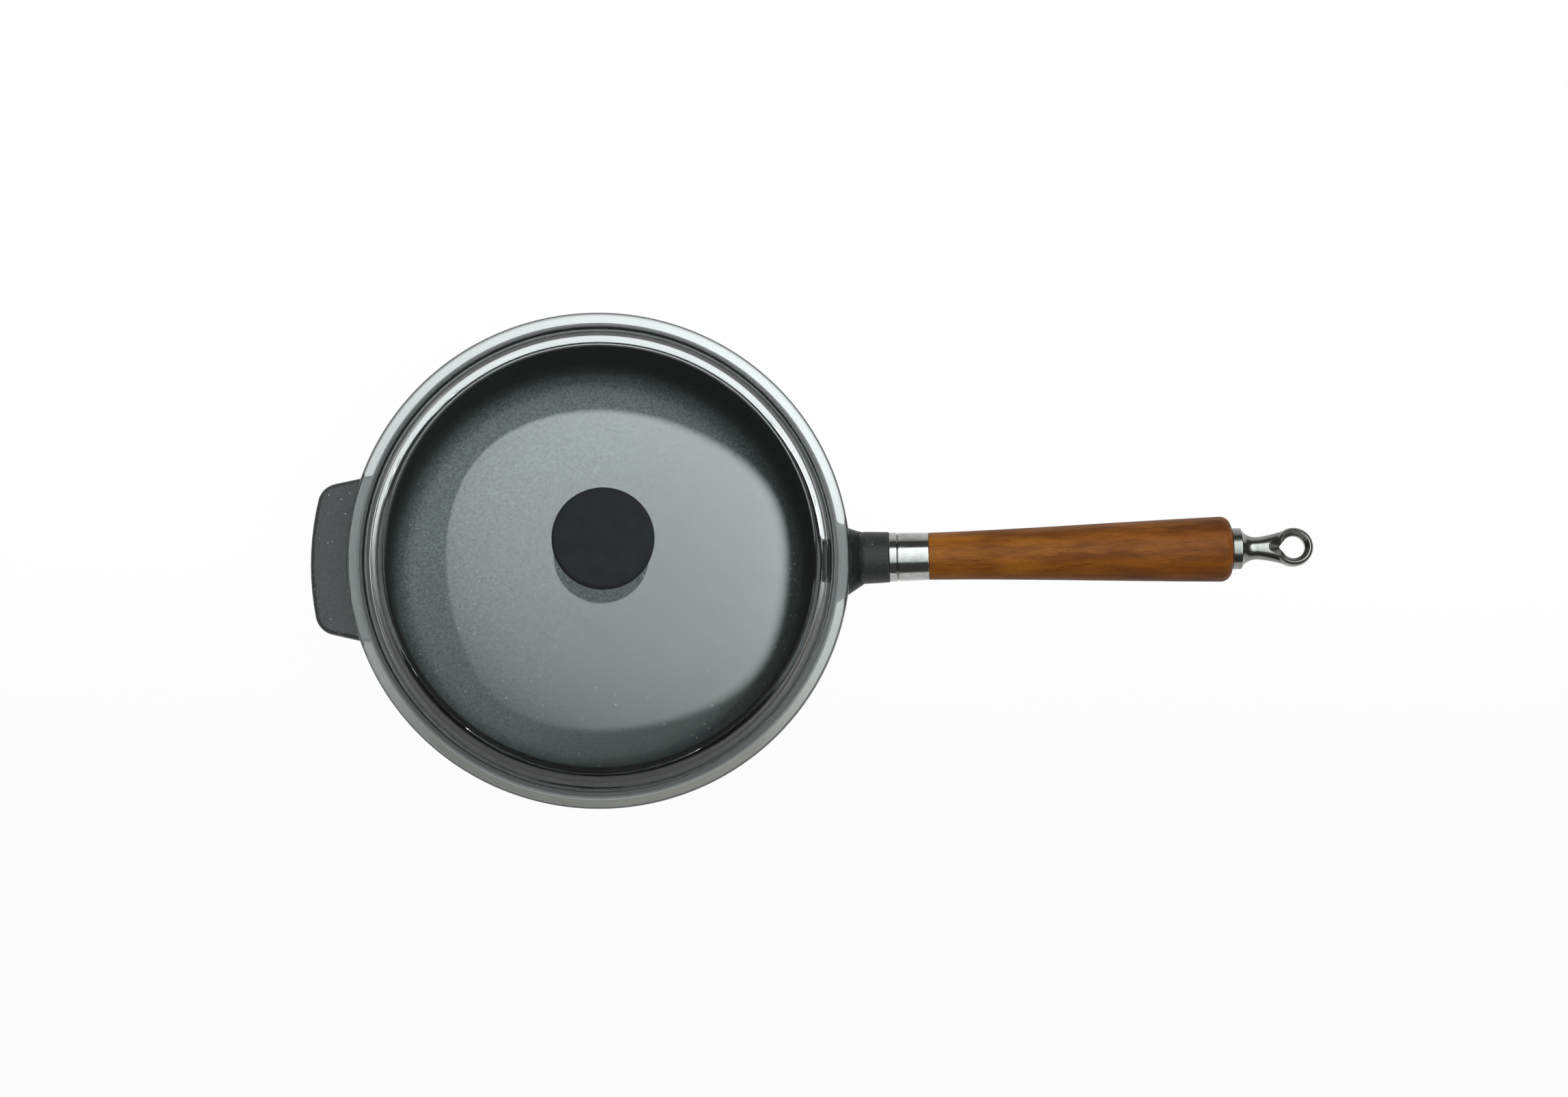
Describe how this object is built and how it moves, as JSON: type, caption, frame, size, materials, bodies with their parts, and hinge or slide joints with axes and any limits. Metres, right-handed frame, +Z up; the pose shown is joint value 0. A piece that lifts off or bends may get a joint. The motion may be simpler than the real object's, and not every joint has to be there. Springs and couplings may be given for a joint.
{
  "type": "saute pan with lid",
  "caption": "Covered saute pan: cast iron bowl with helper lug, long wooden handle on a steel tie rod ending in a hanging eye, and a domed glass lid with a round knob.",
  "frame": {"origin": "centre of the flat underside of the base, on the bowl's axis", "axes": "+X towards the long handle, +Z up out of the bowl, +Y square to both"},
  "size_m": [0.5556, 0.28, 0.1361],
  "materials": {
    "cast_iron_body": "matt black seasoned casting with a fine grain",
    "polished_steel": "polished stainless steel",
    "zinc_steel": "bright turned steel",
    "oiled_wood": "oiled beech, satin",
    "tempered_glass": "clear pressed glass",
    "silicone": "matt",
    "insert_brass": "turned",
    "knob_plastic": "matt moulded phenolic"
  },
  "bodies": {
    "pan": {"pan_body": "cast_iron_body"},
    "grip": {"handle_grip": "oiled_wood", "ferrule": "polished_steel", "end_washer": "zinc_steel"},
    "eye": {"hanging_eye": "polished_steel", "tie_rod": "zinc_steel"},
    "lid": {"lid_glass": "tempered_glass", "upper_gasket": "silicone", "lower_gasket": "silicone", "screw_washer": "zinc_steel", "lid_screw": "zinc_steel", "knob_insert": "insert_brass", "knob": "knob_plastic"}
  },
  "joints": [
    {"name": "lid_lift", "type": "slide", "parent": "pan", "child": "lid", "axis": [0, 0, 1], "range_m": [0, 0.12]},
    {"name": "grip_slide", "type": "slide", "parent": "pan", "child": "grip", "axis": [0.9848, 0, 0.1736], "range_m": [0, 0.015]},
    {"name": "eye_turn", "type": "hinge", "parent": "grip", "child": "eye", "pos_m": [0.1625, 0, 0.07], "axis": [0.9848, 0, 0.1736], "range_deg": [0, 4320]}
  ],
  "couplings": [
    {"joint": "eye_turn", "follows": "grip_slide", "rad_per_m": 5026.5}
  ]
}
